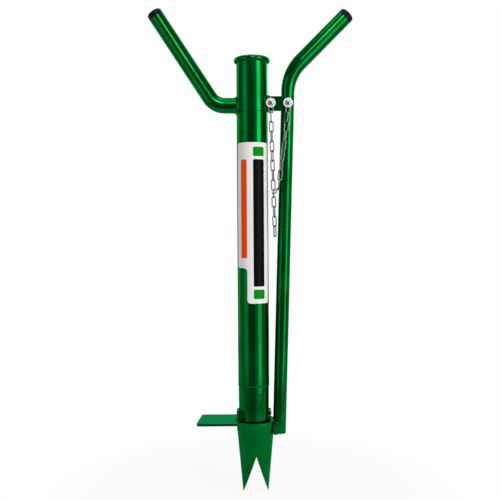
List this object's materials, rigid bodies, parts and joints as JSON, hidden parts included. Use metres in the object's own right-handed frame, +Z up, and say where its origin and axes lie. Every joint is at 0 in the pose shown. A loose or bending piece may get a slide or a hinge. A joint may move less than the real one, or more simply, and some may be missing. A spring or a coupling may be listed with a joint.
{
  "type": "hand planter",
  "caption": "Walk-behind hand planter: a long drop tube with a hinged split beak, a foot plate, a fixed grip and a side lever that opens the beak, tied by a light chain.",
  "frame": {"origin": "on the drop tube's axis, at the level of the beak's points", "axes": "+Z up along the drop tube, +X towards the lever, -Y towards the operator's view of the chain"},
  "size_m": [0.4192, 0.0794, 0.9862],
  "materials": {
    "green_paint": "gloss",
    "zinc_steel": "satin",
    "black_cap": "gloss"
  },
  "bodies": {
    "planter_frame": {"tube_head": "green_paint", "tube_body": "green_paint", "tube_spout": "green_paint", "left_handle": "green_paint", "rear_jaw": "green_paint", "foot_plate": "green_paint", "rear_collar": "green_paint", "hinge_pin_left": "green_paint", "hinge_pin_right": "green_paint", "bracket": "green_paint", "left_handle_cap": "black_cap", "hinge_clip_left": "zinc_steel", "hinge_clip_right": "zinc_steel", "bracket_bolt": "zinc_steel", "bracket_washer": "zinc_steel", "bracket_back_washer": "zinc_steel", "bracket_nut": "zinc_steel", "bracket_shackle": "zinc_steel"},
    "lever_arm": {"lever_tube": "green_paint", "right_handle": "green_paint", "right_handle_cap": "black_cap", "front_jaw": "green_paint", "lever_bolt": "zinc_steel", "lever_washer": "zinc_steel", "lever_back_washer": "zinc_steel", "lever_nut": "zinc_steel", "lever_spacer": "green_paint", "lever_shackle": "zinc_steel"},
    "bracket_strand": {"bracket_chain": "zinc_steel"},
    "lever_strand": {"lever_chain": "zinc_steel", "chain_hook": "zinc_steel"}
  },
  "joints": [
    {"name": "lever_swing", "type": "hinge", "parent": "planter_frame", "child": "lever_arm", "pos_m": [0, 0, 0.16], "axis": [-1, 0, 0], "range_deg": [0, 16]},
    {"name": "bracket_strand_swing", "type": "hinge", "parent": "planter_frame", "child": "bracket_strand", "pos_m": [0.0378, -0.02021, 0.768], "axis": [-1, 0, 0], "range_deg": [-24.5, 0]},
    {"name": "lever_strand_swing", "type": "hinge", "parent": "lever_arm", "child": "lever_strand", "pos_m": [0.07272, -0.02021, 0.768], "axis": [-1, 0, 0], "range_deg": [0, 21]}
  ],
  "couplings": [
    {"joint": "bracket_strand_swing", "follows": "lever_swing", "ratio": -1.52},
    {"joint": "lever_strand_swing", "follows": "lever_swing", "ratio": 1.31}
  ]
}
